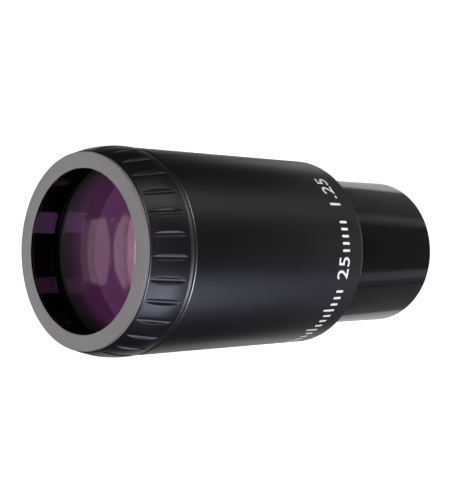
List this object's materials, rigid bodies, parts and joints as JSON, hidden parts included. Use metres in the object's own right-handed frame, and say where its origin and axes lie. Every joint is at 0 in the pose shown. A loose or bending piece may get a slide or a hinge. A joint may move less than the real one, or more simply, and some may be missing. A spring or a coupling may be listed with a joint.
{
  "type": "telescope eyepiece",
  "caption": "Push-in telescope eyepiece with a coated lens pair, a notched twist ring that raises the eyecup, and a barrel with a filter thread.",
  "frame": {"origin": "on the optical axis at the shoulder, where the barrel leaves the body", "axes": "+Z along the optical axis, towards the eye; -Z is the way the barrel points"},
  "size_m": [0.039, 0.039, 0.087],
  "materials": {
    "satin_black": "satin black anodised",
    "gloss_black": "gloss black anodised",
    "matt_black": "matt black anodised against stray light",
    "cup_black": "smooth black",
    "grey_face": "satin mid grey",
    "coated_glass": "purple anti-reflection coating",
    "clear_glass": "polished",
    "spring_steel": "bright drawn",
    "ptfe": "waxy white",
    "nitrile": "greased black"
  },
  "bodies": {
    "housing": {"body_shell": "satin_black", "collar_ring": "satin_black", "guide_sleeve": "matt_black", "snap_ring": "spring_steel", "damping_ring": "nitrile", "lens_cell": "matt_black", "eye_flint": "coated_glass", "eye_crown": "clear_glass", "lens_spacer": "matt_black", "field_crown": "clear_glass", "field_flint": "coated_glass", "cell_lock_ring": "matt_black", "field_stop_ring": "matt_black", "barrel": "gloss_black", "barrel_baffle": "matt_black"},
    "grip": {"grip_ring": "satin_black", "slip_washer": "ptfe"},
    "eyecup": {"eyecup_tube": "cup_black", "eye_guard_ring": "grey_face", "guide_pins": "spring_steel"}
  },
  "joints": [
    {"name": "grip_turn", "type": "hinge", "parent": "housing", "child": "grip", "pos_m": [0, 0, 0], "axis": [0, 0, 1], "range_deg": [0, 90]},
    {"name": "eyecup_rise", "type": "slide", "parent": "housing", "child": "eyecup", "axis": [0, 0, 1], "range_m": [0, 0.005]}
  ],
  "couplings": [
    {"joint": "eyecup_rise", "follows": "grip_turn", "m_per_rad": 0.003183}
  ]
}
